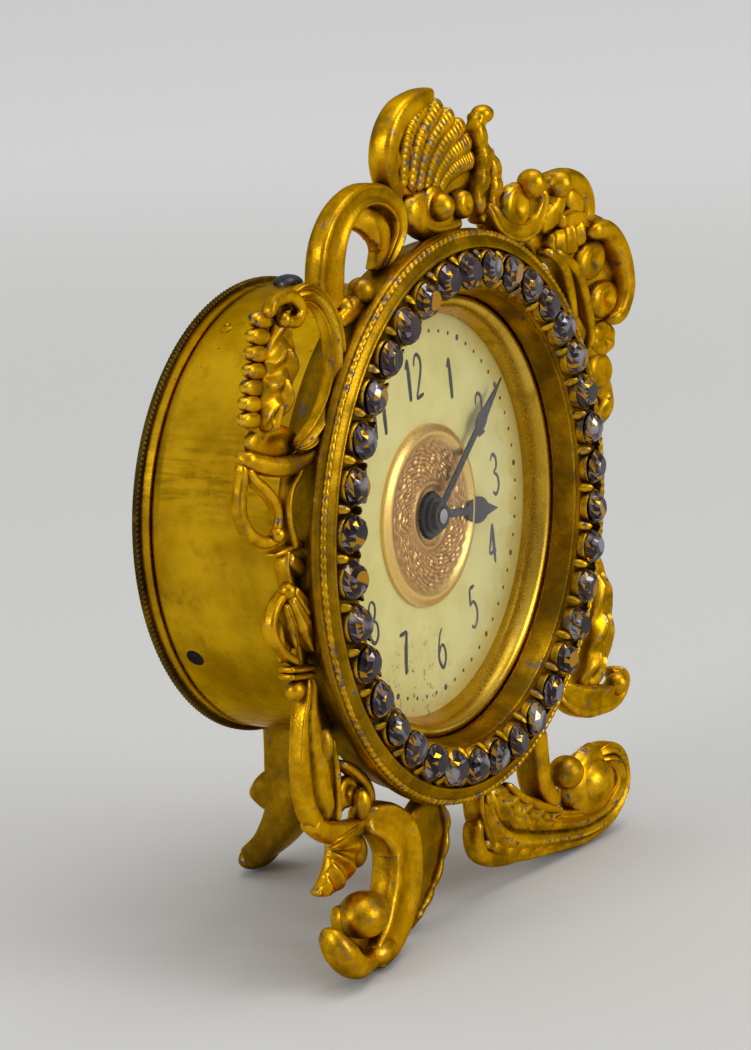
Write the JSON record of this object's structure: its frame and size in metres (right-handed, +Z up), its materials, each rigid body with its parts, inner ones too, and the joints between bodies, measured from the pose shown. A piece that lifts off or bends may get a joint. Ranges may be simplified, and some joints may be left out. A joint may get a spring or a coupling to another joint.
{
  "type": "pendulette clock",
  "caption": "Small drum clock in a gilt rococo frame: stone-set ring, shell crest, scroll legs, cream dial, turning winding back and setting knob.",
  "frame": {"origin": "on the table, under the middle of the clock's bounding box", "axes": "+Z up, +Y from the dial to the winding back, +X to the right of a viewer who faces the dial"},
  "size_m": [0.088, 0.04, 0.1002],
  "materials": {
    "gilt": "old gilding, worn on the edges",
    "case_brass": "satin, spotted with tarnish",
    "stone_glass": "faceted, grey violet",
    "clear_glass": "clear",
    "dark_steel": "dark, aged",
    "dial_cream": "aged cream",
    "dial_copper": "embossed, rose copper",
    "hand_dark": "dark brown",
    "movement_brass": "plain",
    "movement_steel": "plain"
  },
  "bodies": {
    "clock": {"front_frame": "gilt", "stone_settings": "gilt", "stones": "stone_glass", "rear_leg": "gilt", "drum_case": "case_brass", "case_screws": "dark_steel", "case_pin": "dark_steel", "bezel": "case_brass", "glass": "clear_glass", "dial": "dial_cream", "dial_centre": "dial_copper", "dial_feet": "movement_brass", "front_plate": "movement_brass", "back_plate": "movement_brass", "pillars": "movement_brass", "pillar_nuts": "movement_steel", "minute_post": "movement_steel", "click_screw": "movement_steel", "hairspring_stud": "movement_steel"},
    "winding": {"winding_back": "case_brass", "ratchet_ring": "movement_steel", "mainspring": "movement_steel"},
    "hands": {"centre_arbor": "movement_steel", "cannon_wheel": "movement_brass", "cannon_pinion": "movement_steel", "minute_hand": "hand_dark", "hand_nut": "hand_dark", "set_knob": "case_brass"},
    "hour": {"hour_wheel": "movement_brass", "hour_hand": "hand_dark"},
    "minute": {"minute_wheel": "movement_brass"},
    "drive": {"drive_wheel": "movement_brass"},
    "escape": {"escape_arbor": "movement_steel", "escape_wheel": "movement_brass"},
    "fourth": {"fourth_arbor": "movement_steel", "fourth_wheel": "movement_brass"},
    "third": {"third_arbor": "movement_steel", "third_wheel": "movement_brass"},
    "second": {"second_arbor": "movement_steel", "second_wheel": "movement_brass", "friction_spring": "movement_steel"},
    "great": {"great_wheel": "movement_brass"},
    "lever": {"pallet_lever": "movement_steel", "pallet_pins": "movement_steel"},
    "balance": {"balance_staff": "movement_steel", "balance_wheel": "movement_brass", "hairspring": "movement_steel"},
    "click": {"click": "movement_steel"}
  },
  "joints": [
    {"name": "wind", "type": "hinge", "parent": "clock", "child": "winding", "pos_m": [0, 0, 0.0485], "axis": [0, 1, 0], "continuous": true, "deforming": ["mainspring"]},
    {"name": "set_hands", "type": "hinge", "parent": "clock", "child": "hands", "pos_m": [0, 0, 0.0485], "axis": [0, 1, 0], "continuous": true},
    {"name": "hour_turn", "type": "hinge", "parent": "clock", "child": "hour", "pos_m": [0, 0, 0.0485], "axis": [0, 1, 0], "continuous": true},
    {"name": "minute_turn", "type": "hinge", "parent": "clock", "child": "minute", "pos_m": [0.0036, 0, 0.04226], "axis": [0, 1, 0], "continuous": true},
    {"name": "drive_turn", "type": "hinge", "parent": "clock", "child": "drive", "pos_m": [-0.0168, 0, 0.0485], "axis": [0, 1, 0], "continuous": true},
    {"name": "escape_turn", "type": "hinge", "parent": "clock", "child": "escape", "pos_m": [0.00272, 0, 0.06528], "axis": [0, 1, 0], "continuous": true},
    {"name": "fourth_turn", "type": "hinge", "parent": "clock", "child": "fourth", "pos_m": [-0.00588, 0, 0.06445], "axis": [0, 1, 0], "continuous": true},
    {"name": "third_turn", "type": "hinge", "parent": "clock", "child": "third", "pos_m": [-0.01353, 0, 0.05879], "axis": [0, 1, 0], "continuous": true},
    {"name": "second_turn", "type": "hinge", "parent": "clock", "child": "second", "pos_m": [-0.0168, 0, 0.0485], "axis": [0, 1, 0], "continuous": true},
    {"name": "great_turn", "type": "hinge", "parent": "clock", "child": "great", "pos_m": [0, 0, 0.0485], "axis": [0, 1, 0], "continuous": true},
    {"name": "lever_swing", "type": "hinge", "parent": "clock", "child": "lever", "pos_m": [0.0085, 0, 0.06322], "axis": [0, 1, 0], "range_deg": [-6, 6]},
    {"name": "balance_swing", "type": "hinge", "parent": "clock", "child": "balance", "pos_m": [0.01597, 0, 0.05431], "axis": [0, 1, 0], "range_deg": [-150, 150], "deforming": ["hairspring"]},
    {"name": "click_swing", "type": "hinge", "parent": "clock", "child": "click", "pos_m": [0, 0, 0.0305], "axis": [0, 1, 0], "range_deg": [0, 8]}
  ],
  "couplings": [
    {"joint": "hour_turn", "follows": "set_hands", "ratio": 0.083333},
    {"joint": "minute_turn", "follows": "set_hands", "ratio": -0.33333},
    {"joint": "drive_turn", "follows": "set_hands", "ratio": -1},
    {"joint": "fourth_turn", "follows": "escape_turn", "ratio": -0.125},
    {"joint": "third_turn", "follows": "escape_turn", "ratio": 0.016667},
    {"joint": "second_turn", "follows": "escape_turn", "ratio": -0.0020833},
    {"joint": "great_turn", "follows": "escape_turn", "ratio": 0.00034722}
  ]
}
